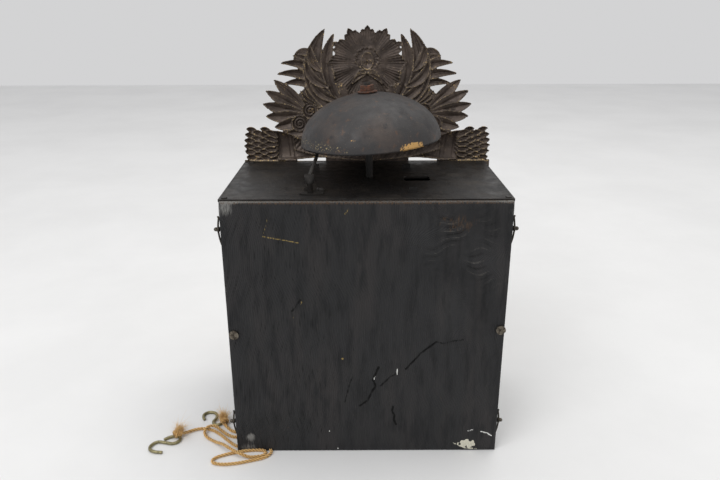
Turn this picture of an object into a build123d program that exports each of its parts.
# Comtoise clock movement: an iron cage with its going and striking trains, bell, dial and brass pediment.
# Origin: on the floor, under the middle of the whole clock. The dial faces -Y, the wooden back faces +Y, and
# +Z is up. Right and left are those of someone who looks at the dial, so right is +X.

import os
from math import asin, atan2, cos, degrees, hypot, pi, radians, sin, sqrt, tan

from build123d import *

os.makedirs("parts", exist_ok=True)

# Cage
case_width = 250.0
case_depth = 147.0
case_height = 250.0
foot_height = 9.0
plate_thickness = 2.5
board_thickness = 6.0
board_side_gap = 1.5
board_floor_gap = 4.5
post_size = 8.0
bar_width = 14.0
bar_thickness = 4.0
seat_gap = 0.3
running_gap = 0.05

# Front of the clock, measured forward from the front edge of the iron plates
dial_plate_thickness = 1.2
surround_thickness = 0.8
dial_radius = 104.5
dial_opening_radius = 96.5
dial_thickness = 1.4
dial_dome = 8.0
stud_reach = 18.5
screw_head_height = 1.5

# Doors and their turn latches
door_thickness = 1.2
door_play = 0.4
hinge_barrel_radius = 2.0
hinge_pin_radius = 1.5
latch_wire = 1.8
latch_bow = 3.2
latch_up = 12.5
latch_down = 15.0
upper_latch_height = 222.0
lower_latch_height = 27.0

# Trains: places of the two rows of arbors, and the teeth
going_x = -41.0
strike_x = 50.0
great_height = 55.0
pinion_leaves = 6
great_teeth = 72
great_module = 1.1
second_teeth = 48
third_going_teeth = 45
third_strike_teeth = 42
train_module = 1.0
escape_teeth = 30
escape_radius = 20.8
pallet_clearance = 1.05
drum_radius = 17.0
drum_flange_radius = 24.0
rope_diameter = 3.2
rope_turns = 14
hands_height = 127.5
motion_teeth = 36
cannon_leaves = 8
reduction_teeth = 24
hour_teeth = 32
hour_module = 1.5
snail_steps = 12
snail_radius = 34.0
rack_pitch = 2.3

# Bell and hammer
bell_radius = 65.0
bell_height = 43.5
bell_wall = 3.0
bell_rim_height = 35.0
bell_x = -3.9
bell_from_back = 81.9
stud_lean = 1.5
bell_lean = 4.1
hammer_x = 48.5
hammer_from_back = 22.4

# Front and back planes, so that the middle of everything that stands out is over the origin
case_shift = (stud_reach - screw_head_height) / 2
front_y = case_shift - case_depth / 2
back_y = case_shift + case_depth / 2
board_front_y = back_y - board_thickness
plate_back_y = board_front_y - 2 * seat_gap
floor_plate_z = foot_height + plate_thickness
ceiling_z = case_height - plate_thickness
front_bar_y = front_y + 31.2
rear_bar_y = back_y - 28.0
inside_front_y = front_bar_y + bar_thickness / 2
inside_rear_y = rear_bar_y - bar_thickness / 2
dial_plate_y = front_y - dial_plate_thickness
front_post_x = case_width / 2 - 9.0
front_post_y = front_y + post_size / 2 + 0.5
rear_post_x = case_width / 2 - 0.7 - post_size / 2
rear_post_y = plate_back_y - 0.5 - post_size / 2
door_hinge_x = case_width / 2 - 2.6
door_hinge_y = front_post_y

# Heights of the arbors, from the gears that join them
second_height = great_height + great_module * (great_teeth + pinion_leaves) / 2
third_height = second_height + train_module * (second_teeth + pinion_leaves) / 2
escape_height = third_height + train_module * (third_going_teeth + pinion_leaves) / 2
fly_height = third_height + train_module * (third_strike_teeth + pinion_leaves) / 2
anchor_height = escape_height + escape_radius * sqrt(2)
motion_distance = hypot(going_x, hands_height - second_height)
motion_module = motion_distance / motion_teeth
reduction_distance = hour_module * (cannon_leaves + hour_teeth) / 2
reduction_module = 2 * reduction_distance / (cannon_leaves + reduction_teeth)

# Depths of the wheels, measured back from the rear face of the front bars
great_wheel_depth = 8.8
great_wheel_thickness = 2.5
leaf_depth = (3.3, 11.8)
drum_depth = (11.8, 76.3)
flange_thickness = 1.8
second_wheel_depth = 80.8
rear_leaf_depth = (76.0, 82.6)
third_wheel_depth = 30.3
middle_leaf_depth = (25.0, 34.0)
escape_wheel_depth = 66.8
anchor_depth = 68.0
fly_depth = (50.0, 74.0)
wheel_thickness = 2.0
winding_depth = 15.0
winding_pitch = rope_diameter + 0.2
rope_leave_depth = winding_depth + rope_turns * winding_pitch + rope_diameter / 2 + seat_gap
rope_leave_y = inside_front_y + rope_leave_depth
rope_leave_offset = drum_radius + rope_diameter / 2 + seat_gap

# Motion work, measured forward from the front face of the front bars
bridge_thickness = 4.0
centre_wheel_reach = (7.7, 9.7)
cannon_leaf_reach = (11.7, 16.7)
reduction_wheel_reach = (13.2, 15.2)
reduction_leaf_reach = (18.2, 22.4)
hour_wheel_reach = (19.0, 21.0)
snail_reach = (24.5, 26.0)
rack_reach = (4.5, 7.0)
front_bar_face = front_bar_y - bar_thickness / 2


def facing_front(y, x=0.0, z=0.0):
    """A plane that looks at the viewer of the dial: its X is +X, its Y is up, and it extrudes forward."""
    return Plane(origin=(x, y, z), x_dir=(1, 0, 0), z_dir=(0, -1, 0))


def facing_side(side, x, y, z):
    """A plane that looks out of the cage's right side (1) or left side (-1)."""
    return Plane(origin=(side * x, y, z), x_dir=(0, 1, 0), z_dir=(side, 0, 0))


def turning(y, x=0.0, z=0.0):
    """A plane for turned profiles: its X is the radius, its Y runs forward from y."""
    return Plane(origin=(x, y, z), x_dir=(1, 0, 0), z_dir=(0, 0, -1))


def write(part, name):
    part.label = name
    export_step(part, f"parts/{name}.step")


def tooth_points(count, module, addendum, dedendum, root_share, tip_share, first=0.0):
    """Outline of a toothed wheel. Tip share 0 gives pointed wheel teeth, otherwise flat-ended leaves."""
    pitch_radius = module * count / 2
    root = pitch_radius - dedendum * module
    tip = pitch_radius + addendum * module
    pitch = 2 * pi / count
    corners = [(root, -root_share / 2), (tip, -tip_share / 2), (tip, tip_share / 2), (root, root_share / 2)]
    if tip_share == 0:
        corners.pop(1)
    outline = []
    for tooth in range(count):
        for radius, share in corners:
            angle = radians(first) + tooth * pitch + share * pitch * pitch_radius / radius
            outline.append((radius * cos(angle), radius * sin(angle)))
    return outline


def wheel_points(count, module, first=0.0):
    return tooth_points(count, module, 0.85, 1.1, 0.56, 0.0, first)


def leaf_points(count, module, first=0.0):
    return tooth_points(count, module, 0.55, 1.2, 0.36, 0.2, first)


def window_points(inner, outer, start, end):
    """One opening between two spokes: three chords outside, one chord inside."""
    outer_angles = [start + (end - start) * step / 3 for step in range(4)]
    points = [(outer * cos(radians(a)), outer * sin(radians(a))) for a in outer_angles]
    spread = (end - start) * 0.28
    for angle in (end - spread, start + spread):
        points.append((inner * cos(radians(angle)), inner * sin(radians(angle))))
    return points


def cut_windows(inner, outer, spokes=4):
    """The openings between the spokes of a crossed-out wheel, cut out of the sketch that is being drawn."""
    for spoke in range(spokes):
        start = 360 / spokes * spoke + 11
        end = start + 360 / spokes - 22
        Polygon(*window_points(inner, outer, start, end), align=None, mode=Mode.SUBTRACT)


def toothed_wheel(y, x, z, count, module, thickness, first):
    """A crossed-out wheel whose rear face lies at y, with its first tooth at the given angle."""
    root = module * (count / 2 - 1.1)
    with BuildPart() as wheel:
        with BuildSketch(facing_front(y, x, z)):
            Polygon(*wheel_points(count, module, first), align=None)
            cut_windows(max(7.0, root * 0.26), root * 0.84)
        extrude(amount=thickness)
    return wheel.part


def make_arbor(name, x, z, sections, leaves=None, carried=()):
    """A turned arbor from (start depth, end depth, radius) sections, with its pinion and what it carries."""
    with BuildPart() as arbor:
        for start, end, radius in sections:
            with BuildSketch(facing_front(inside_front_y + end, x, z)):
                Circle(radius)
            extrude(amount=end - start)
        if leaves:
            start, end, count, module, first = leaves
            with BuildSketch(facing_front(inside_front_y + end, x, z)):
                Polygon(*leaf_points(count, module, first), align=None)
            extrude(amount=end - start)
        for piece in carried:
            add(piece)
    write(arbor.part, name)


# Pivot holes that the bars need: (height, pivot radius)
great_pivot = 3.0
second_pivot = 1.6
third_pivot = 1.2
fast_pivot = 1.0
bar_gap_depth = inside_rear_y - inside_front_y
going_pivots = [
    (great_height, great_pivot),
    (second_height, second_pivot),
    (third_height, third_pivot),
    (escape_height, fast_pivot),
    (anchor_height, fast_pivot),
]
strike_pivots = [
    (great_height, great_pivot),
    (second_height, second_pivot),
    (third_height, third_pivot),
    (fly_height, fast_pivot),
]
bridge_screw_z = hands_height + 7.8
bridge_screw_radius = 1.5
tenon_width = 8.0
tenon_thickness = 2.4
tenon_above = 4.5
rope_slot = (10.0, 58.0)
pendulum_slot = (52.0, 9.0)
bell_y = back_y - bell_from_back
hammer_y = back_y - hammer_from_back
post_places = [
    (side * x, y)
    for side in (-1, 1)
    for x, y in ((front_post_x, front_post_y), (rear_post_x, rear_post_y))
]
bar_places = [(x, y) for x in (going_x, strike_x) for y in (front_bar_y, rear_bar_y)]
rivet_radius = 2.6
hammer_arbor_radius = 2.5
hammer_hole_radius = 4.0
bracket_screw_radius = 1.5
bracket_screw_place = (hammer_x - 8.5, hammer_y - 9.0)
bell_stud_radius = 3.4
plate_depth = plate_back_y - front_y
plate_middle_y = (plate_back_y + front_y) / 2
top_slot = (24.0, 17.0)
top_slot_place = (-48.0, back_y - 75.2)


def cut_shared_plate_holes(plate_z):
    """Holes that both iron plates have: post rivets, bar tenons and the door hinge pins."""
    with BuildSketch(Plane.XY.offset(plate_z)) as holes:
        with Locations(*post_places):
            Circle(rivet_radius + running_gap)
        with Locations(*bar_places):
            Rectangle(tenon_width + 0.1, tenon_thickness + 0.1)
        with Locations((door_hinge_x, door_hinge_y), (-door_hinge_x, door_hinge_y)):
            Circle(hinge_pin_radius + running_gap)
    extrude(holes.sketch, amount=plate_thickness, mode=Mode.SUBTRACT)


# Iron plates at the top and bottom of the cage
with BuildPart() as top_plate:
    with BuildSketch(Plane.XY.offset(ceiling_z)):
        with Locations((0, plate_middle_y)):
            Rectangle(case_width, plate_depth)
        with Locations((hammer_x, hammer_y)):
            Circle(hammer_hole_radius, mode=Mode.SUBTRACT)
        with Locations((bell_x, bell_y)):
            Circle(bell_stud_radius + 0.6, mode=Mode.SUBTRACT)
        with Locations(bracket_screw_place):
            Circle(bracket_screw_radius + running_gap, mode=Mode.SUBTRACT)
        with Locations(top_slot_place):
            RectangleRounded(*top_slot, 3.0, mode=Mode.SUBTRACT)
    extrude(amount=plate_thickness)
    cut_shared_plate_holes(ceiling_z)
write(top_plate.part, "top_plate")

with BuildPart() as bottom_plate:
    with BuildSketch(Plane.XY.offset(foot_height)):
        with Locations((0, plate_middle_y)):
            Rectangle(case_width, plate_depth)
        for train_x in (going_x, strike_x):
            with Locations((train_x + rope_leave_offset, rope_leave_y + 5.0 - rope_slot[1] / 2)):
                Rectangle(*rope_slot, mode=Mode.SUBTRACT)
        with Locations((going_x, rear_bar_y + 13.0)):
            Rectangle(*pendulum_slot, mode=Mode.SUBTRACT)
    extrude(amount=plate_thickness)
    cut_shared_plate_holes(foot_height)
write(bottom_plate.part, "bottom_plate")

# Four square corner posts: riveted through both plates, their lower ends are the feet
with BuildPart() as corner_posts:
    for x, y in post_places:
        with BuildSketch(Plane.XY.offset(floor_plate_z)):
            with Locations((x, y)):
                Rectangle(post_size, post_size)
        extrude(amount=ceiling_z - floor_plate_z)
        with BuildSketch(Plane.XY.offset(foot_height)):
            with Locations((x, y)):
                Circle(rivet_radius)
        extrude(amount=case_height - foot_height + 0.8)
        with BuildSketch():
            with Locations((x, y)):
                Rectangle(post_size - 1, post_size - 1)
        extrude(amount=foot_height)
write(corner_posts.part, "corner_posts")


# Upright iron bars that carry the pivots of each train
def make_bars(name, y, screw_holes=()):
    with BuildPart() as bars:
        for x, pivots in ((going_x, going_pivots), (strike_x, strike_pivots)):
            with BuildSketch(Plane.XY.offset(floor_plate_z)):
                with Locations((x, y)):
                    Rectangle(bar_width, bar_thickness)
            extrude(amount=ceiling_z - floor_plate_z)
            with BuildSketch(Plane.XY.offset(foot_height - 1.5)):
                with Locations((x, y)):
                    Rectangle(tenon_width, tenon_thickness)
            extrude(amount=case_height + tenon_above - foot_height + 1.5)
            for height, radius in (*pivots, *screw_holes):
                with BuildSketch(facing_front(y + bar_thickness, x, height)):
                    Circle(radius + running_gap)
                extrude(amount=2 * bar_thickness, mode=Mode.SUBTRACT)
    write(bars.part, name)


make_bars("front_train_bars", front_bar_y, [(bridge_screw_z, bridge_screw_radius)])
make_bars("rear_train_bars", rear_bar_y)

# Wooden back board, held by two slotted screws
board_width = case_width - 2 * board_side_gap
board_height = case_height - 1.2 - board_floor_gap
screw_places = [(118.5, 126.0), (-120.0, 130.0)]
screw_radius = 2.2
screw_head_radius = 4.3
with BuildPart() as back_board:
    with BuildSketch(facing_front(back_y, 0, board_floor_gap + board_height / 2)):
        Rectangle(board_width, board_height)
        with Locations(*[(x, z - board_floor_gap - board_height / 2) for x, z in screw_places]):
            Circle(screw_radius + running_gap, mode=Mode.SUBTRACT)
    extrude(amount=board_thickness)
write(back_board.part, "back_board")

with BuildPart() as back_board_screws:
    for (x, z), slot_turn in zip(screw_places, (82.0, 40.0)):
        with BuildSketch(facing_front(back_y + screw_head_height, x, z)):
            Circle(screw_head_radius)
        extrude(amount=screw_head_height)
        with BuildSketch(facing_front(back_y, x, z)):
            Circle(screw_radius)
        extrude(amount=board_thickness + 2 * seat_gap)
        with BuildSketch(facing_front(back_y + screw_head_height, x, z)):
            Rectangle(2.2 * screw_head_radius, 1.1, rotation=slot_turn)
        extrude(amount=0.9, mode=Mode.SUBTRACT)
write(back_board_screws.part, "back_board_screws")


# Sheet-iron side doors, each rolled round its own hinge pin at the front edge
def make_door(name, side):
    barrel_bottom = floor_plate_z + door_play
    barrel_height = ceiling_z - floor_plate_z - 2 * door_play
    panel_end = rear_post_y - post_size / 2 - 1.0
    with BuildPart() as door:
        with BuildSketch(Plane.XY.offset(barrel_bottom)):
            with Locations((side * door_hinge_x, door_hinge_y)):
                Circle(hinge_barrel_radius)
            with Locations((side * (door_hinge_x + 0.8), (door_hinge_y + panel_end) / 2)):
                Rectangle(door_thickness, panel_end - door_hinge_y)
        extrude(amount=barrel_height)
        with BuildSketch(Plane.XY.offset(foot_height + 0.4)):
            with Locations((side * door_hinge_x, door_hinge_y)):
                Circle(hinge_pin_radius)
        extrude(amount=case_height - foot_height - 0.8)
    write(door.part, name)


make_door("right_door", 1)
make_door("left_door", -1)

# Turn latches at the rear edges: a ball-headed pin in the rear post, and a bowed wire that turns on it
latch_heights = (upper_latch_height, lower_latch_height)
pin_root_x = rear_post_x + post_size / 2
with BuildPart() as latch_pins:
    for side in (-1, 1):
        for z in latch_heights:
            with BuildSketch(facing_side(side, pin_root_x, rear_post_y, z)):
                Circle(0.8)
            extrude(amount=latch_bow + 1.4)
            with BuildSketch(facing_side(side, pin_root_x + latch_bow + 1.4, rear_post_y, z)):
                Circle(1.8)
            extrude(amount=2.4, taper=18)
write(latch_pins.part, "latch_pins")


def make_latch(name, side, z):
    """A flat bowed wire with an eye at its middle; its ends stand just clear of the post."""
    near = pin_root_x + seat_gap
    far = near + latch_bow
    with BuildPart() as latch:
        with BuildSketch(Plane(origin=(0, rear_post_y, z), x_dir=(side, 0, 0), z_dir=(0, -side, 0))) as bow:
            with BuildLine():
                outer = ThreePointArc((near + 1.0, latch_up), (far, 0), (near + 1.0, -latch_down))
                tip = Line(outer @ 1, (near, -latch_down))
                inner = ThreePointArc(tip @ 1, (far - 1.0, 0), (near, latch_up))
                Line(inner @ 1, outer @ 0)
            make_face()
        extrude(amount=latch_wire / 2, both=True)
        with BuildSketch(facing_side(side, far - 1.4, rear_post_y, z)):
            Circle(2.0)
        extrude(amount=1.5)
        with BuildSketch(facing_side(side, near - 1, rear_post_y, z)):
            Circle(0.8 + running_gap)
        extrude(amount=latch_bow + 4, mode=Mode.SUBTRACT)
    write(latch.part, name)


for side, side_name in ((1, "right"), (-1, "left")):
    make_latch(f"upper_{side_name}_latch", side, upper_latch_height)
    make_latch(f"lower_{side_name}_latch", side, lower_latch_height)

# Iron dial plate in front of the cage, with openings for the hands and the winding squares
front_bottom_z = 6.0
front_height = case_height - front_bottom_z
front_middle_z = front_bottom_z + front_height / 2
winding_holes = [(going_x, great_height), (strike_x, great_height)]
with BuildPart() as dial_plate:
    with BuildSketch(facing_front(front_y, 0, front_middle_z)):
        Rectangle(case_width, front_height)
        with Locations((0, hands_height - front_middle_z)):
            Circle(8.0, mode=Mode.SUBTRACT)
        with Locations(*[(x, z - front_middle_z) for x, z in winding_holes]):
            Circle(6.5, mode=Mode.SUBTRACT)
    extrude(amount=dial_plate_thickness)
write(dial_plate.part, "dial_plate")

# Enamel dial: a shallow dome with a flat rim
dome_sphere = (dial_opening_radius**2 + dial_dome**2) / (2 * dial_dome)
centre_hole = 7.0


def dome_rise(radius):
    """How far the dome stands above the flat rim at this radius."""
    return dial_dome - radius**2 / (2 * dome_sphere)


dome_chords = 4
with BuildPart() as enamel_dial:
    with BuildSketch(turning(dial_plate_y, 0, hands_height)):
        chord_step = (dial_opening_radius - centre_hole) / dome_chords
        chord_radii = [centre_hole + chord_step * step for step in range(dome_chords + 1)]
        inner_radii = (dial_opening_radius, dial_opening_radius * 0.6, centre_hole)
        with BuildLine():
            Polyline(
                *[(radius, dial_thickness + dome_rise(radius)) for radius in chord_radii],
                (dial_radius, dial_thickness), (dial_radius, 0),
                *[(radius, max(0, dome_rise(radius) - 0.3)) for radius in inner_radii], close=True,
            )
        make_face()
    revolve(axis=Axis((0, dial_plate_y, hands_height), (0, -1, 0)))
    for x, z in winding_holes:
        with BuildSketch(facing_front(dial_plate_y, x, z)):
            Circle(6.0)
        extrude(amount=2 * dial_dome, mode=Mode.SUBTRACT)
write(enamel_dial.part, "enamel_dial")

# Stamped brass surround: a flat sheet with a beaded edge, corner leaves and a raised ring over the dial's rim
surround_top_z = case_height - 7.0
surround_bottom_z = front_bottom_z
surround_middle_z = (surround_top_z + surround_bottom_z) / 2
surround_height = surround_top_z - surround_bottom_z
ring_outer = dial_radius + 5.0
ring_height = 6.0
bead = 5.0
with BuildPart() as dial_surround:
    with BuildSketch(facing_front(dial_plate_y, 0, surround_middle_z)):
        Rectangle(case_width, surround_height)
        with Locations((0, hands_height - surround_middle_z)):
            Circle(dial_radius + seat_gap, mode=Mode.SUBTRACT)
    extrude(amount=surround_thickness)
    with BuildSketch(facing_front(dial_plate_y, 0, surround_middle_z)):
        Rectangle(case_width, surround_height)
        Rectangle(case_width - 2 * bead, surround_height - 2 * bead, mode=Mode.SUBTRACT)
    extrude(amount=3 * surround_thickness)
    with BuildSketch(turning(dial_plate_y, 0, hands_height)):
        with BuildLine():
            Polyline(
                (dial_radius + seat_gap, 0), (ring_outer, 0), (ring_outer - 2, ring_height - 1.5),
                (ring_outer - 5, ring_height), (dial_opening_radius + 1.5, dial_thickness + 1.6),
                (dial_opening_radius + 0.5, dial_thickness + seat_gap),
                (dial_radius + seat_gap, dial_thickness + seat_gap), close=True,
            )
        make_face()
    revolve(axis=Axis((0, dial_plate_y, hands_height), (0, -1, 0)))
    for side_x in (-1, 1):
        for side_z in (-1, 1):
            corner = (side_x * (case_width / 2 - bead), side_z * (surround_height / 2 - bead))
            with BuildSketch(facing_front(dial_plate_y, 0, surround_middle_z)):
                for turn in (18, 45, 72):
                    direction = Vector(-side_x * cos(radians(turn)), -side_z * sin(radians(turn)))
                    across = Vector(-direction.Y, direction.X)
                    length = 22.0 if turn == 45 else 30.0
                    start = Vector(corner[0] - side_x * 2, corner[1] - side_z * 2)
                    Polygon(
                        start, start + direction * length / 2 + across * 4.5,
                        start + direction * length, start + direction * length / 2 - across * 4.5, align=None,
                    )
            extrude(amount=2.5 * surround_thickness)
write(dial_surround.part, "dial_surround")

# Stamped brass pediment: a sun between plumes, palmettes and two flower-filled horns
pediment_x = -2.5
pediment_bottom_z = surround_top_z + 0.3
pediment_sheet = 0.8
sun_height = 348.9
sun_radius = 38.0
sun_rays = 32


def leaf(base, tip, left_bulge, right_bulge):
    """A leaf from base to tip. Its two edges bulge to the left of that direction by these amounts."""
    base = Vector(*base)
    tip = Vector(*tip)
    along = tip - base
    normal = Vector(-along.Y, along.X).normalized()
    middle = base + along * 0.5
    with BuildLine() as edges:
        ThreePointArc(base, middle + normal * left_bulge, tip)
        ThreePointArc(tip, middle + normal * right_bulge, base)
    make_face(edges.edges())


palmette = (62.0, 296.0)
palmette_tips = [(93.6, 332.6), (102.2, 321.8), (105.9, 308.8), (103.5, 296.7), (94.8, 285.4)]
plumes = [((24.0, 312.0), (40.4, 380.2), -1.0, -17.0), ((20.0, 318.0), (31.6, 378.4), -0.8, -9.0)]
side_leaves = [((34.0, 316.0), (82.9, 348.1), 12.0, 1.0), ((34.0, 312.0), (87.2, 341.4), 11.0, -1.0)]
rosettes = [(58.0, 301.5), (69.0, 289.0)]
with BuildPart() as pediment:
    with BuildSketch(facing_front(dial_plate_y, pediment_x, 0)):
        rays = []
        for ray in range(sun_rays):
            reach = sun_radius if ray % 2 == 0 else sun_radius - 4.0
            for share, radius in ((0, reach), (0.5, sun_radius - 11.0)):
                angle = 2 * pi * (ray + share) / sun_rays
                rays.append((radius * sin(angle), sun_height + radius * cos(angle)))
        Polygon(*rays, align=None)
        for side in (-1, 1):
            for base, tip, left, right in plumes + side_leaves:
                leaf((side * base[0], base[1]), (side * tip[0], tip[1]), side * left, side * right)
            for tip in palmette_tips:
                leaf((side * palmette[0], palmette[1]), (side * tip[0], tip[1]), 6.0, -6.0)
            with Locations((side * 58.0, 350.0)):
                Circle(10.0)
            with Locations(*[(side * x, z) for x, z in rosettes]):
                Circle(7.5)
            Polygon(
                *[(side * x, z) for x, z in (
                    (0, pediment_bottom_z), (43, pediment_bottom_z), (43, 257), (66, 262), (84, 254),
                    (85, pediment_bottom_z), (127.5, pediment_bottom_z),
                    (127.8, 252), (125.5, 257), (127, 262), (124.5, 269), (118, 276), (114, 281),
                    (111, 285.5), (100, 283), (86, 288), (70, 318), (40, 345), (0, 345),
                )], align=None,
            )
            Polygon(
                *[(side * x, z) for x, z in (
                    (0, 255), (30, 255.5), (60, 262), (84, 256), (84, 272), (0, 270))], align=None,
            )
        with Locations((0, (pediment_bottom_z + 250) / 2)):
            Rectangle(2 * 127.5, 250 - pediment_bottom_z)
    extrude(amount=pediment_sheet)
write(pediment.part, "pediment")

# Bell, leaning on a stud with a bent top
bell_tilt = radians(bell_lean)
seat_distance = bell_rim_height + bell_height - bell_wall
bell_seat = Vector(bell_x + seat_distance * sin(radians(stud_lean)), bell_y, case_height + seat_distance)
bell_axis = Vector(sin(bell_tilt), 0, cos(bell_tilt))
bell_plane = Plane(origin=bell_seat, x_dir=(cos(bell_tilt), 0, -sin(bell_tilt)), z_dir=bell_axis)
stud_axis = (bell_seat - Vector(bell_x, bell_y, ceiling_z)).normalized()
stud_plane = Plane(origin=(bell_x, bell_y, ceiling_z), x_dir=(stud_axis.Z, 0, -stud_axis.X), z_dir=stud_axis)
stud_length = (bell_seat - Vector(bell_x, bell_y, ceiling_z)).length
washer_thickness = 1.6
nut_height = 5.0
thread_radius = 3.0
with BuildPart() as bell_stud:
    with BuildSketch(stud_plane):
        Circle(bell_stud_radius)
    extrude(amount=stud_length - 2.0)
    with BuildSketch(Plane.XY.offset(ceiling_z - 2.5)):
        with Locations((bell_x, bell_y)):
            RegularPolygon(7.0, 4)
    extrude(amount=2.4)
    with BuildSketch(bell_plane.offset(-3.0)):
        Circle(5.5)
    extrude(amount=2.6)
    with BuildSketch(bell_plane.offset(-3.0)):
        Circle(thread_radius)
    extrude(amount=3.0 + bell_wall + washer_thickness + nut_height + 2.5)
write(bell_stud.part, "bell_stud")


def dome_points(radius, height, steps, first_radius):
    """Chords of a quarter ellipse from the crown to the rim, measured down from the crown."""
    start = asin(first_radius / radius)
    angles = [start + (pi / 2 - start) * step / steps for step in range(steps + 1)]
    return [(radius * sin(angle), height * cos(angle) - height) for angle in angles]


bell_hole = thread_radius + 0.3
with BuildPart() as bell:
    outer = [(r, h + bell_wall) for r, h in dome_points(bell_radius, bell_height, 7, bell_hole)]
    inner = dome_points(bell_radius - bell_wall, bell_height - bell_wall, 5, bell_hole)
    with BuildSketch(Plane(origin=bell_seat, x_dir=bell_plane.x_dir, z_dir=(0, -1, 0))):
        with BuildLine():
            Polyline(*outer, *reversed(inner), close=True)
        make_face()
    revolve(axis=Axis(bell_seat, bell_axis))
write(bell.part, "bell")

with BuildPart() as bell_nut:
    with BuildSketch(bell_plane.offset(bell_wall + 0.1)):
        Circle(9.0)
        Circle(bell_hole, mode=Mode.SUBTRACT)
    extrude(amount=washer_thickness)
    with BuildSketch(bell_plane.offset(bell_wall + washer_thickness + 0.2)):
        RegularPolygon(7.0, 4, rotation=20)
        Circle(thread_radius + running_gap, mode=Mode.SUBTRACT)
    extrude(amount=nut_height)
write(bell_nut.part, "bell_nut_and_washer")

# Great wheels, drums and ropes, the same for both trains
wheel_first = 90.0
leaf_first = 270.0 + 180.0 / pinion_leaves
great_arbor_radius = 4.0
winding_square = 4.2
square_end_y = dial_plate_y - dial_thickness - 1.2
barrel_clear = 0.05
ratchet_teeth = 12
ratchet_radius = 16.0
ratchet_root = 13.2
click_pivot = (-22.0, 27.2)
drum_length = drum_depth[1] - drum_depth[0]
drum_front_y = inside_front_y + drum_depth[0]


def make_great_assembly(train, x):
    z = great_height
    great_y = inside_front_y + great_wheel_depth
    with BuildPart() as great_wheel:
        add(toothed_wheel(great_y, x, z, great_teeth, great_module, great_wheel_thickness, wheel_first))
        with BuildSketch(facing_front(great_y, x, z)):
            Circle(great_arbor_radius + barrel_clear)
        extrude(amount=great_wheel_thickness, mode=Mode.SUBTRACT)
        with BuildSketch(facing_front(drum_front_y - 0.1, x + click_pivot[0], z + click_pivot[1])):
            Circle(1.2)
        extrude(amount=drum_depth[0] - great_wheel_depth)
    write(great_wheel.part, f"{train}_great_wheel")
    with BuildPart() as arbor:
        for start, end, radius in (
            (-6.0, seat_gap, great_pivot),
            (seat_gap, bar_gap_depth - seat_gap, great_arbor_radius),
            (bar_gap_depth - seat_gap, bar_gap_depth + bar_thickness + 0.5, great_pivot),
        ):
            with BuildSketch(facing_front(inside_front_y + end, x, z)):
                Circle(radius)
            extrude(amount=end - start)
        with BuildSketch(facing_front(inside_front_y - 6.0, x, z)):
            Rectangle(winding_square, winding_square)
        extrude(amount=inside_front_y - 6.0 - square_end_y)
    write(arbor.part, f"{train}_winding_arbor")
    with BuildPart() as drum:
        rear_y = inside_front_y + drum_depth[1]
        with BuildSketch(turning(rear_y, x, z)):
            with BuildLine():
                Polyline(
                    (great_arbor_radius + barrel_clear, 0), (drum_flange_radius, 0),
                    (drum_flange_radius, flange_thickness), (drum_radius, flange_thickness),
                    (drum_radius, drum_length - flange_thickness),
                    (drum_flange_radius, drum_length - flange_thickness), (drum_flange_radius, drum_length),
                    (great_arbor_radius + barrel_clear, drum_length), close=True,
                )
            make_face()
        revolve(axis=Axis((x, rear_y, z), (0, -1, 0)))
        with BuildSketch(facing_front(drum_front_y, x, z)):
            saw = []
            for tooth in range(ratchet_teeth):
                angle = pi / 2 + 2 * pi * tooth / ratchet_teeth
                saw.append((ratchet_radius * cos(angle), ratchet_radius * sin(angle)))
                saw.append((ratchet_root * cos(angle), ratchet_root * sin(angle)))
            Polygon(*saw, align=None)
            Circle(great_arbor_radius + barrel_clear, mode=Mode.SUBTRACT)
        extrude(amount=drum_depth[0] - great_wheel_depth - 0.6)
    write(drum.part, f"{train}_drum")
    with BuildPart() as click:
        with BuildSketch(facing_front(drum_front_y - 0.4, x, z)):
            Polygon((-1.2, 13.9), (-1.2, 17.5), (-20.0, 30.0), (-24.0, 25.3), (-2.5, 14.5), align=None)
            with Locations(click_pivot):
                Circle(3.0)
                Circle(1.25, mode=Mode.SUBTRACT)
        extrude(amount=2.2)
    write(click.part, f"{train}_click")
    with BuildPart() as turns:
        length = rope_turns * winding_pitch
        with BuildSketch(facing_front(inside_front_y + winding_depth + length, x, z)):
            Circle(drum_radius + rope_diameter)
            Circle(drum_radius + barrel_clear, mode=Mode.SUBTRACT)
        extrude(amount=length)
    write(turns.part, f"{train}_rope_turns")


make_great_assembly("going", going_x)
make_great_assembly("strike", strike_x)

# Going train: minute, third and escape arbors with their wheels
second_radius = 2.2
third_radius = 1.8
fast_radius = 1.5
arbor_end = bar_gap_depth + bar_thickness + 0.5
body_end = bar_gap_depth - seat_gap
drive_depth = [-(bar_thickness + reach) for reach in centre_wheel_reach]
second_wheel_y = inside_front_y + second_wheel_depth
third_wheel_y = inside_front_y + third_wheel_depth
make_arbor(
    "minute_arbor", going_x, second_height,
    [(drive_depth[1] - 1.0, seat_gap, second_pivot), (seat_gap, body_end, second_radius),
     (body_end, arbor_end, second_pivot)],
    (*leaf_depth, pinion_leaves, great_module, leaf_first),
    [toothed_wheel(second_wheel_y, going_x, second_height, second_teeth, train_module, wheel_thickness,
                   wheel_first)],
)
drive_angle = degrees(atan2(hands_height - second_height, -going_x))
with BuildPart() as motion_drive_wheel:
    drive_wheel_y = inside_front_y + drive_depth[0]
    add(toothed_wheel(drive_wheel_y, going_x, second_height, motion_teeth, motion_module, wheel_thickness,
                      drive_angle))
    with BuildSketch(facing_front(drive_wheel_y, going_x, second_height)):
        Circle(second_pivot + barrel_clear)
    extrude(amount=wheel_thickness, mode=Mode.SUBTRACT)
write(motion_drive_wheel.part, "motion_drive_wheel")
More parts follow.
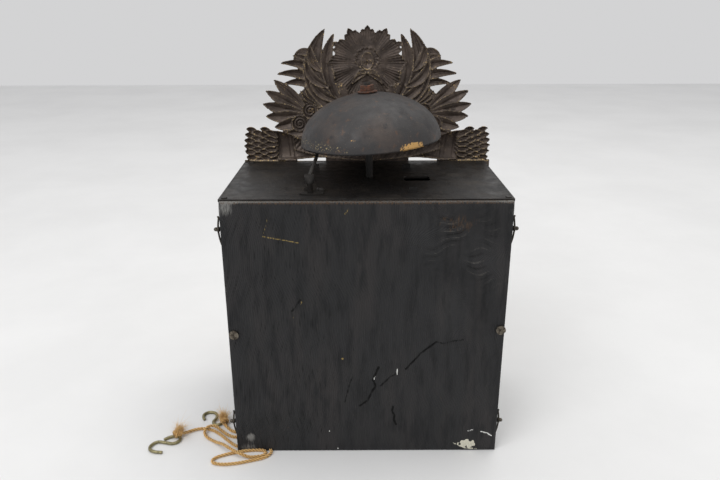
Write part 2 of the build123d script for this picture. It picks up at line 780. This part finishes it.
make_arbor(
    "going_third_arbor", going_x, third_height,
    [(-bar_thickness - 0.5, seat_gap, third_pivot), (seat_gap, body_end, third_radius),
     (body_end, arbor_end, third_pivot)],
    (*rear_leaf_depth, pinion_leaves, train_module, leaf_first),
    [toothed_wheel(third_wheel_y, going_x, third_height, third_going_teeth, train_module, wheel_thickness,
                   wheel_first)],
)
with BuildPart() as escape_wheel:
    with BuildSketch(facing_front(inside_front_y + escape_wheel_depth, going_x, escape_height)):
        saw = []
        for tooth in range(escape_teeth):
            for turn, radius in ((0, escape_radius), (2.5, escape_radius - 3.6), (8.0, escape_radius - 3.6)):
                angle = radians(tooth * 360 / escape_teeth + turn)
                saw.append((radius * cos(angle), radius * sin(angle)))
        Polygon(*saw, align=None)
        cut_windows(5.0, 14.0)
    extrude(amount=1.5)
make_arbor(
    "escape_wheel", going_x, escape_height,
    [(-bar_thickness - 0.5, seat_gap, fast_pivot), (seat_gap, body_end, fast_radius),
     (body_end, arbor_end, fast_pivot)],
    (*middle_leaf_depth, pinion_leaves, train_module, leaf_first),
    [escape_wheel.part],
)

# Anchor with its arbor, and the crutch that would drive a pendulum
anchor_thickness = 4.0
crutch_depth = (bar_gap_depth + bar_thickness + 1.2, bar_gap_depth + bar_thickness + 3.2)
tip_reach = (escape_radius + pallet_clearance) * sqrt(0.5)
tip_drop = anchor_height - escape_height - tip_reach
with BuildPart() as anchor:
    with BuildSketch(facing_front(inside_front_y + anchor_depth, going_x, anchor_height)):
        Circle(5.0)
        for side in (-1, 1):
            Polygon(
                *[(side * x, z) for x, z in (
                    (0, 4.0), (8, 3.0), (16, -3.0), (tip_reach + 3.4, -tip_drop + 4.0),
                    (tip_reach + 1.3, -tip_drop - 1.3), (tip_reach - 0.7, -tip_drop + 0.7),
                    (12.5, -6.0), (6.0, -2.5), (0, -4.0),
                )], align=None,
            )
    extrude(amount=anchor_thickness)
make_arbor(
    "anchor", going_x, anchor_height,
    [(-bar_thickness - 0.5, seat_gap, fast_pivot), (seat_gap, body_end, fast_radius),
     (body_end, crutch_depth[1] + 0.4, fast_pivot)],
    carried=[anchor.part],
)
crutch_length = 70.0
fork_length = 9.0
fork_end_y = inside_front_y + crutch_depth[0] + fork_length
with BuildPart() as crutch:
    with BuildSketch(facing_front(inside_front_y + crutch_depth[1], going_x, anchor_height)):
        Circle(3.5)
        with Locations((0, -crutch_length / 2)):
            Rectangle(2.4, crutch_length)
        Circle(fast_pivot + barrel_clear / 2, mode=Mode.SUBTRACT)
    extrude(amount=crutch_depth[1] - crutch_depth[0])
    with BuildSketch(facing_front(fork_end_y, going_x, anchor_height - crutch_length)):
        Rectangle(9.0, 3.0)
        with Locations((0, 1.0)):
            Rectangle(3.2, 3.2, mode=Mode.SUBTRACT)
    extrude(amount=fork_length)
write(crutch.part, "crutch")

cock_z = case_height - 38.0
with BuildPart() as suspension_cock:
    with BuildSketch(facing_front(rear_bar_y + bar_thickness / 2 + 13.0, going_x, cock_z)):
        Rectangle(10.0, 9.0)
    extrude(amount=13.0)
    with BuildSketch(facing_front(rear_bar_y + bar_thickness / 2 + 13.0, going_x, cock_z - 2.0)):
        Rectangle(1.0, 8.0)
    extrude(amount=8.0, mode=Mode.SUBTRACT)
write(suspension_cock.part, "suspension_cock")

# Striking train: pin wheel, gathering arbor and fly
hammer_pins = 8
pin_circle = 19.0
gathering_end = -(bar_thickness + rack_reach[1] + 0.5)
with BuildPart() as pin_wheel:
    add(toothed_wheel(second_wheel_y, strike_x, second_height, second_teeth, train_module, wheel_thickness,
                      wheel_first))
    with BuildSketch(facing_front(second_wheel_y + 2.2, strike_x, second_height)):
        with PolarLocations(pin_circle, hammer_pins, start_angle=22.5):
            RegularPolygon(1.0, 6)
    extrude(amount=2.2 + wheel_thickness)
make_arbor(
    "pin_wheel", strike_x, second_height,
    [(-bar_thickness - 0.5, seat_gap, second_pivot), (seat_gap, body_end, second_radius),
     (body_end, arbor_end, second_pivot)],
    (*leaf_depth, pinion_leaves, great_module, leaf_first),
    [pin_wheel.part],
)
with BuildPart() as gathering_pallet:
    with BuildSketch(facing_front(front_bar_face - rack_reach[0], strike_x, third_height)):
        Circle(3.0)
        Polygon((-2.0, 0.0), (0.5, 7.0), (1.8, 6.6), (2.4, 0.0), align=None)
    extrude(amount=rack_reach[1] - rack_reach[0])
make_arbor(
    "gathering_arbor", strike_x, third_height,
    [(gathering_end, seat_gap, third_pivot), (seat_gap, body_end, third_radius),
     (body_end, arbor_end, third_pivot)],
    (*rear_leaf_depth, pinion_leaves, train_module, leaf_first),
    [toothed_wheel(third_wheel_y, strike_x, third_height, third_strike_teeth, train_module, wheel_thickness,
                   wheel_first), gathering_pallet.part],
)
fly_reach = 20.0
with BuildPart() as fly_vanes:
    with BuildSketch(facing_front(inside_front_y + fly_depth[1], strike_x, fly_height)):
        Circle(3.2)
        Rectangle(2 * fly_reach, 0.9)
    extrude(amount=fly_depth[1] - fly_depth[0])
make_arbor(
    "fly", strike_x, fly_height,
    [(-bar_thickness - 0.5, seat_gap, fast_pivot), (seat_gap, body_end, fast_radius),
     (body_end, arbor_end, fast_pivot)],
    (*middle_leaf_depth, pinion_leaves, train_module, leaf_first),
    [fly_vanes.part],
)

# Rack that counts the hours, with its two guides on the front strike bar
rack_x = strike_x + 7.4
rack_tooth_depth = 1.8
rack_width = 5.0
rack_teeth = 14
rack_bottom = 66.0
finger_z = hands_height + snail_radius + 0.8
rack_top = finger_z + 12.0
rack_front = front_bar_face - rack_reach[1]
rack_back = front_bar_face - rack_reach[0]
snail_back = front_bar_face - snail_reach[0]
snail_front = front_bar_face - snail_reach[1]
first_tooth_z = third_height - 7.0
with BuildPart() as rack:
    with BuildSketch(facing_front(rack_back)):
        outline = [(rack_x + rack_tooth_depth, rack_bottom)]
        for tooth in range(rack_teeth):
            z = first_tooth_z + tooth * rack_pitch
            outline.append((rack_x + rack_tooth_depth, z))
            outline.append((rack_x, z + rack_pitch * 0.9))
        right = rack_x + rack_tooth_depth + rack_width
        outline += [(rack_x + rack_tooth_depth, first_tooth_z + rack_teeth * rack_pitch),
                    (rack_x + rack_tooth_depth, rack_top), (right, rack_top), (right, rack_bottom)]
        Polygon(*outline, align=None)
    extrude(amount=rack_reach[1] - rack_reach[0])
    with BuildSketch(facing_front(rack_front)):
        with Locations((right - rack_width / 2, rack_top - 2.0)):
            Rectangle(rack_width, 4.0)
    extrude(amount=rack_front - snail_front)
    with BuildSketch(facing_front(snail_back)):
        Polygon((right, rack_top), (-2.5, rack_top), (-1.2, finger_z), (1.2, finger_z), (2.5, rack_top - 4.0),
                (right, rack_top - 4.0), align=None)
    extrude(amount=snail_back - snail_front)
write(rack.part, "rack")
guide_heights = (72.0, 110.0)
hook_pivot = (strike_x - 3.0, third_height + 31.0)
hook_stud_radius = 1.4
with BuildPart() as rack_guides:
    for z in guide_heights:
        with BuildSketch(facing_front(front_bar_face, 0, z)):
            with Locations((strike_x + 9.0, 0)):
                Rectangle(19.0, 4.0)
        extrude(amount=rack_reach[1] + 2.5)
        with BuildSketch(facing_front(rack_back + 0.1, 0, z)):
            with Locations(((rack_x + right) / 2, 0)):
                Rectangle(right - rack_x + 0.3, 5.0)
        extrude(amount=rack_reach[1] - rack_reach[0] + 0.2, mode=Mode.SUBTRACT)
        with BuildSketch(facing_front(front_bar_face - 3.0, 0, z)):
            with Locations((strike_x + 1.0, 0)):
                Rectangle(11.4, 5.0)
        extrude(amount=rack_reach[1], mode=Mode.SUBTRACT)
    with BuildSketch(facing_front(front_bar_face, *hook_pivot)):
        Circle(hook_stud_radius)
    extrude(amount=rack_reach[1] + 0.8)
write(rack_guides.part, "rack_guides")

# Hook that keeps the rack from falling while it is gathered; its beak ends just clear of the teeth
with BuildPart() as rack_hook:
    hook_x, hook_z = hook_pivot
    with BuildSketch(facing_front(rack_back - 0.1)):
        beak = (rack_x - 0.2, hook_z - 14.0)
        Polygon((hook_x - 2.5, hook_z - 2.0), (hook_x + 2.0, hook_z + 2.8), (beak[0] - 0.6, hook_z - 9.0),
                beak, (beak[0] - 4.5, hook_z - 12.0), align=None)
        Polygon((hook_x - 2.5, hook_z - 2.0), (hook_x + 1.5, hook_z + 3.0), (hook_x - 9.0, hook_z + 7.0),
                (hook_x - 10.0, hook_z + 5.0), align=None)
        with Locations(hook_pivot):
            Circle(3.5)
            Circle(hook_stud_radius + running_gap, mode=Mode.SUBTRACT)
    extrude(amount=rack_reach[1] - rack_reach[0] - 0.2)
write(rack_hook.part, "rack_hook")

# Motion work: bridge with two studs, cannon, reduction wheel, hour wheel, snail and hands
stud_radius = 2.0
reduction_stud_radius = 1.8
cannon_radius = 3.2
pipe_radius = 5.4
dome_top_y = dial_plate_y - dial_thickness - dial_dome
hour_hand_y = dome_top_y - 1.6
minute_hand_y = hour_hand_y - 2.6
hand_thickness = 0.9
stud_end_y = front_y - stud_reach
reduction_place = (reduction_distance, hands_height)
bridge_z = hands_height + 2.0
bridge_height = 20.0
bridge_half = 7.0
with BuildPart() as motion_bridge:
    with BuildSketch(facing_front(front_bar_face)):
        with Locations(((going_x + strike_x) / 2, bridge_z)):
            Rectangle(strike_x - going_x + 2 * bridge_half, bridge_height)
        with Locations((going_x, third_height), (strike_x, third_height)):
            Circle(2.3, mode=Mode.SUBTRACT)
        with Locations((going_x, bridge_screw_z), (strike_x, bridge_screw_z)):
            Circle(bridge_screw_radius + running_gap, mode=Mode.SUBTRACT)
    extrude(amount=bridge_thickness)
    with BuildSketch(facing_front(front_bar_face - bridge_thickness, 0, hands_height)):
        Circle(stud_radius)
    extrude(amount=front_bar_face - bridge_thickness - stud_end_y)
    with BuildSketch(facing_front(front_bar_face - bridge_thickness, *reduction_place)):
        Circle(reduction_stud_radius)
    extrude(amount=reduction_leaf_reach[1] - bridge_thickness + 0.8)
write(motion_bridge.part, "motion_bridge")
with BuildPart() as bridge_screws:
    for x in (going_x, strike_x):
        with BuildSketch(facing_front(front_bar_face - bridge_thickness, x, bridge_screw_z)):
            Circle(2.7)
        extrude(amount=1.4)
        with BuildSketch(facing_front(front_bar_face + bar_thickness, x, bridge_screw_z)):
            Circle(bridge_screw_radius)
        extrude(amount=bar_thickness + bridge_thickness)
write(bridge_screws.part, "bridge_screws")
with BuildPart() as cannon_wheel:
    cannon_back_y = front_bar_face - bridge_thickness - 1.0
    with BuildSketch(facing_front(front_bar_face - centre_wheel_reach[0], 0, hands_height)):
        first = drive_angle + 180 + 180 / motion_teeth
        Polygon(*wheel_points(motion_teeth, motion_module, first), align=None)
        cut_windows(8.0, 20.0)
    extrude(amount=wheel_thickness)
    with BuildSketch(facing_front(front_bar_face - cannon_leaf_reach[0], 0, hands_height)):
        Polygon(*leaf_points(cannon_leaves, reduction_module, 22.5), align=None)
    extrude(amount=cannon_leaf_reach[1] - cannon_leaf_reach[0])
    with BuildSketch(facing_front(cannon_back_y, 0, hands_height)):
        Circle(cannon_radius)
    extrude(amount=cannon_back_y - minute_hand_y + hand_thickness + 0.3)
    with BuildSketch(facing_front(front_bar_face, 0, hands_height)):
        Circle(stud_radius + running_gap)
    extrude(amount=front_bar_face - minute_hand_y + 5.0, mode=Mode.SUBTRACT)
write(cannon_wheel.part, "cannon_wheel")
with BuildPart() as reduction_wheel:
    with BuildSketch(facing_front(front_bar_face - reduction_wheel_reach[0], *reduction_place)):
        Polygon(*wheel_points(reduction_teeth, reduction_module, 180.0), align=None)
        cut_windows(8.5, 17.0)
    extrude(amount=wheel_thickness)
    with BuildSketch(facing_front(front_bar_face - reduction_wheel_reach[1], *reduction_place)):
        Polygon(*leaf_points(cannon_leaves, hour_module, 202.5), align=None)
    extrude(amount=reduction_leaf_reach[1] - reduction_wheel_reach[1])
    with BuildSketch(facing_front(front_bar_face, *reduction_place)):
        Circle(reduction_stud_radius + running_gap)
    extrude(amount=30.0, mode=Mode.SUBTRACT)
write(reduction_wheel.part, "reduction_wheel")
rest_hour = 10
with BuildPart() as hour_wheel:
    pipe_back_y = front_bar_face - hour_wheel_reach[0] + 0.6
    with BuildSketch(facing_front(front_bar_face - hour_wheel_reach[0], 0, hands_height)):
        Polygon(*wheel_points(hour_teeth, hour_module, 0.0), align=None)
        cut_windows(9.0, 18.5)
    extrude(amount=wheel_thickness)
    with BuildSketch(facing_front(snail_back, 0, hands_height)):
        spiral = []
        for step in range(snail_steps):
            radius = snail_radius - step * rack_pitch
            for turn in (-15, 0, 15):
                angle = radians(90 + 30 * (step + 1 - rest_hour) + turn)
                spiral.append((radius * cos(angle), radius * sin(angle)))
        Polygon(*spiral, align=None)
    extrude(amount=snail_reach[1] - snail_reach[0])
    with BuildSketch(facing_front(pipe_back_y, 0, hands_height)):
        Circle(pipe_radius)
    extrude(amount=pipe_back_y - hour_hand_y + hand_thickness + 0.2)
    with BuildSketch(facing_front(front_bar_face, 0, hands_height)):
        Circle(cannon_radius + 2 * running_gap)
    extrude(amount=front_bar_face - hour_hand_y + 5.0, mode=Mode.SUBTRACT)
write(hour_wheel.part, "hour_wheel_and_snail")


def make_hand(name, y, turn, length, tail, hub, bore, width):
    """A pierced hand with a ring near its tip. It is drawn pointing up and turned clockwise."""
    ring_place = length * 0.66
    across = (cos(radians(turn)), 0, -sin(radians(turn)))
    with BuildPart() as hand:
        with BuildSketch(Plane(origin=(0, y, hands_height), x_dir=across, z_dir=(0, -1, 0))):
            Circle(hub)
            Polygon((-width, 0), (-width * 0.7, ring_place), (0, ring_place + 3), (width * 0.7, ring_place),
                    (width, 0), (width * 0.6, -tail), (-width * 0.6, -tail), align=None)
            Polygon((-width * 0.6, ring_place), (0, length), (width * 0.6, ring_place), align=None)
            with Locations((0, ring_place)):
                Circle(width * 2.6)
                Circle(width * 1.5, mode=Mode.SUBTRACT)
            Circle(bore, mode=Mode.SUBTRACT)
        extrude(amount=hand_thickness)
    write(hand.part, name)


rest_minute_turn = 48.0
rest_hour_turn = 30.0 * rest_hour + rest_minute_turn / 12
make_hand("hour_hand", hour_hand_y, rest_hour_turn, 58.0, 9.0, 9.0, pipe_radius + barrel_clear, 2.6)
make_hand("minute_hand", minute_hand_y, rest_minute_turn, 84.0, 14.0, 7.0, cannon_radius + barrel_clear, 2.2)
with BuildPart() as hand_collet:
    with BuildSketch(facing_front(minute_hand_y - hand_thickness - 0.5, 0, hands_height)):
        Circle(3.4)
        Circle(stud_radius + barrel_clear / 2, mode=Mode.SUBTRACT)
    extrude(amount=1.6)
write(hand_collet.part, "hand_collet")

# Hammer on its upright arbor, with its bearings
hammer_foot_z = 104.0
bracket_thickness = 1.4
hammer_bottom_z = hammer_foot_z + 1.2
head_radius = 4.0
head_length = 9.0
collar_z = (case_height + 10.0, case_height + 17.2)
tail_z = (110.0, 114.0)
tail_x = hammer_x - 9.5
head_place = Vector(hammer_x - 6.9, hammer_y - 31.0, case_height + 39.0)
rim_place = Vector(hammer_x - 5.2, hammer_y - 24.6, case_height + 27.8)
with BuildPart() as hammer:
    with BuildSketch(Plane.XY.offset(hammer_bottom_z)):
        with Locations((hammer_x, hammer_y)):
            Circle(hammer_arbor_radius)
    extrude(amount=collar_z[0] - hammer_bottom_z)
    with BuildSketch(Plane.XY.offset(collar_z[0])):
        with Locations((hammer_x, hammer_y)):
            Circle(4.2)
    extrude(amount=collar_z[1] - collar_z[0])
    with BuildSketch(Plane.XY.offset(tail_z[0])):
        with Locations((hammer_x, hammer_y)):
            Circle(3.4)
        Polygon((hammer_x, hammer_y - 2.0), (tail_x - 1.5, hammer_y - 2.0),
                (tail_x - 1.5, inside_rear_y - 0.2), (tail_x + 1.5, inside_rear_y - 0.2),
                (tail_x + 1.5, hammer_y - 2.6), (hammer_x, hammer_y - 2.6), (hammer_x, hammer_y + 2.0),
                (tail_x - 1.5, hammer_y + 2.0), align=None)
    extrude(amount=tail_z[1] - tail_z[0])
    rod_start = Vector(hammer_x, hammer_y, collar_z[1] - 1.0)
    with BuildLine():
        rod_path = FilletPolyline(rod_start, rim_place, head_place, radius=10.0)
    with BuildSketch(Plane(origin=rod_start, z_dir=rod_path % 0)):
        RegularPolygon(1.7, 8)
    sweep(path=rod_path)
    strike_direction = Vector(head_place.X - bell_x, head_place.Y - bell_y, 0).normalized()
    head_plane = Plane(origin=head_place - strike_direction * head_length / 2, z_dir=strike_direction)
    with BuildSketch(head_plane):
        Circle(head_radius)
    extrude(amount=head_length)
write(hammer.part, "hammer")
with BuildPart() as hammer_bearings:
    with BuildSketch(Plane.XY.offset(case_height)):
        with Locations((hammer_x - 1.3, hammer_y - 4.0)):
            RectangleRounded(21.0, 16.0, 4.0)
        with Locations((hammer_x, hammer_y)):
            Circle(hammer_arbor_radius + running_gap, mode=Mode.SUBTRACT)
        with Locations(bracket_screw_place):
            Circle(bracket_screw_radius + running_gap, mode=Mode.SUBTRACT)
        with Locations((strike_x, rear_bar_y)):
            Rectangle(tenon_width + 0.4, tenon_thickness + 0.4, mode=Mode.SUBTRACT)
    extrude(amount=bracket_thickness)
    with BuildSketch(Plane.XY.offset(case_height + bracket_thickness + 0.1)):
        with Locations(bracket_screw_place):
            Circle(3.4)
    extrude(amount=2.2, taper=25)
    with BuildSketch(Plane.XY.offset(ceiling_z - 2.0)):
        with Locations(bracket_screw_place):
            Circle(bracket_screw_radius)
    extrude(amount=plate_thickness + bracket_thickness + 2.2)
    with BuildSketch(Plane.XY.offset(hammer_foot_z - 4.0)):
        with Locations((hammer_x, (rear_bar_y + bar_thickness / 2 + hammer_y + 5.0) / 2)):
            Rectangle(11.0, hammer_y + 5.0 - rear_bar_y - bar_thickness / 2)
    extrude(amount=5.0)
    with BuildSketch(Plane.XY.offset(hammer_foot_z)):
        with Locations((hammer_x, hammer_y)):
            Circle(3.5)
    extrude(amount=3.0)
    with BuildSketch(Plane.XY.offset(hammer_foot_z + 1.0)):
        with Locations((hammer_x, hammer_y)):
            Circle(hammer_arbor_radius + running_gap)
    extrude(amount=3.0, mode=Mode.SUBTRACT)
write(hammer_bearings.part, "hammer_bearings")

# Ropes. Points of the free stretches: (x, y from the middle of the cage, height), chosen from how they lie
rope_radius = rope_diameter / 2
lie = rope_radius + 0.05
over = lie + rope_diameter + 0.2
leave_y = rope_leave_y - case_shift
strike_rope_points = [
    (strike_x + rope_leave_offset, leave_y, great_height),
    (strike_x + rope_leave_offset + 0.6, leave_y + 0.5, 26.0), (strike_x + rope_leave_offset, leave_y, lie),
    (86.0, 35.5, lie), (102.0, 47.0, lie), (119.0, 54.5, lie), (134.0, 53.0, lie), (145.0, 42.5, lie),
    (153.0, 38.2, over), (161.0, 42.5, over), (160.5, 51.0, lie), (148.0, 60.5, lie), (138.5, 68.0, over),
    (131.0, 74.6, over), (121.5, 81.6, over), (111.0, 84.2, lie), (103.0, 82.8, lie), (97.7, 81.8, lie),
    (95.4, 77.8, lie), (97.7, 73.8, lie), (105.5, 73.3, lie), (114.0, 74.0, lie), (123.5, 76.4, lie),
    (133.5, 79.5, lie), (143.6, 84.6, lie), (145.2, 91.0, lie), (136.0, 94.2, lie), (122.0, 92.8, lie),
    (108.0, 88.6, lie), (95.5, 84.5, lie), (89.5, 76.5, lie), (94.0, 69.6, lie), (108.0, 68.9, lie),
    (123.5, 69.3, lie), (133.5, 60.8, lie), (143.0, 50.5, lie), (153.5, 41.6, lie), (166.0, 38.6, lie),
    (176.0, 43.4, lie), (182.0, 48.6, lie + 1.0),
]
going_rope_points = [
    (going_x + rope_leave_offset, leave_y, great_height),
    (going_x + rope_leave_offset + 0.6, leave_y + 0.5, 26.0), (going_x + rope_leave_offset, leave_y, lie),
    (2.0, 12.5, lie), (33.0, 6.5, lie), (66.0, 8.0, lie), (94.0, 24.0, lie), (113.0, 43.0, lie),
    (129.0, 47.0, lie), (139.0, 40.0, lie), (143.6, 33.4, lie + 1.0),
]


def route_radii(points):
    """Each bend is as large as its two runs allow."""
    radii = []
    for before, here, after in zip(points, points[1:], points[2:]):
        run_in = Vector(*here) - Vector(*before)
        run_out = Vector(*after) - Vector(*here)
        half_turn = radians(run_in.get_angle(run_out)) / 2
        radii.append(0.45 * min(run_in.length, run_out.length) / tan(half_turn))
    return radii


def make_rope(name, points):
    points = [(x, y + case_shift, z) for x, y, z in points]
    radii = route_radii(points)
    with BuildPart() as rope:
        with BuildLine():
            route = FilletPolyline(*points, radius=radii)
        with BuildSketch(Plane(origin=points[0], z_dir=(0, 0, -1))):
            RegularPolygon(rope_radius, 6)
        sweep(path=route)
    section = 1.5 * sqrt(3) * rope_radius**2
    share = rope.part.volume / section / route.length
    print(name, "length", round(route.length, 1), "volume share", round(share, 4))
    print(name, "radii", [round(radius, 1) for radius in radii])
    write(rope.part, name)


make_rope("strike_rope", strike_rope_points)
make_rope("going_rope", going_rope_points)

# Knots and S-hooks at the ropes' ends
knot_radius = 2.8
knot_length = 8.6
hook_wire = 3.0
strike_hook_points = [
    (195.0, 76.2), (205.5, 76.0), (210.5, 68.0), (205.0, 59.6), (196.0, 61.6), (187.5, 63.8), (182.0, 58.0),
    (185.0, 51.2), (194.0, 52.0), (198.5, 57.0),
]
going_hook_points = [
    (166.0, 24.4), (170.2, 18.0), (165.0, 10.8), (156.0, 13.0), (153.6, 22.0), (157.2, 29.0), (152.5, 34.4),
    (146.5, 31.6), (146.5, 27.0),
]


def make_hook(name, points):
    points = [(x, y + case_shift, hook_wire / 2 + 0.1) for x, y in points]
    with BuildPart() as hook:
        with BuildLine():
            route = FilletPolyline(*points, radius=route_radii(points))
        with BuildSketch(Plane(origin=points[0], z_dir=route % 0)):
            RegularPolygon(hook_wire / 2, 6)
        sweep(path=route)
    write(hook.part, name)


make_hook("strike_rope_hook", strike_hook_points)
make_hook("going_rope_hook", going_hook_points)


def make_knot(name, centre, heading):
    """Two tilted turns of rope laid tightly round the end of the strand."""
    axis = Vector(cos(radians(heading)), sin(radians(heading)), 0)
    middle = Vector(centre[0], centre[1] + case_shift, knot_radius + rope_radius + 0.05)
    with BuildPart() as knot:
        for place, tilt in ((-0.9 * rope_radius, 16), (0.9 * rope_radius, -16)):
            turn_axis = axis.rotate(Axis.Z, tilt)
            turn_middle = middle + axis * place
            plane = Plane(origin=turn_middle, x_dir=(0, 0, 1), z_dir=Vector(0, 0, 1).cross(turn_axis))
            with BuildSketch(plane):
                with Locations((knot_radius, 0)):
                    RegularPolygon(rope_radius, 6)
            revolve(axis=Axis(turn_middle, turn_axis))
        with BuildSketch(Plane(origin=middle - axis * knot_length / 2, z_dir=axis)):
            RegularPolygon(knot_radius - 0.2, 8)
        extrude(amount=knot_length)
    write(knot.part, name)


make_knot("strike_rope_knot", (186.5, 50.5), 35)
make_knot("going_rope_knot", (145.0, 29.0), 115)
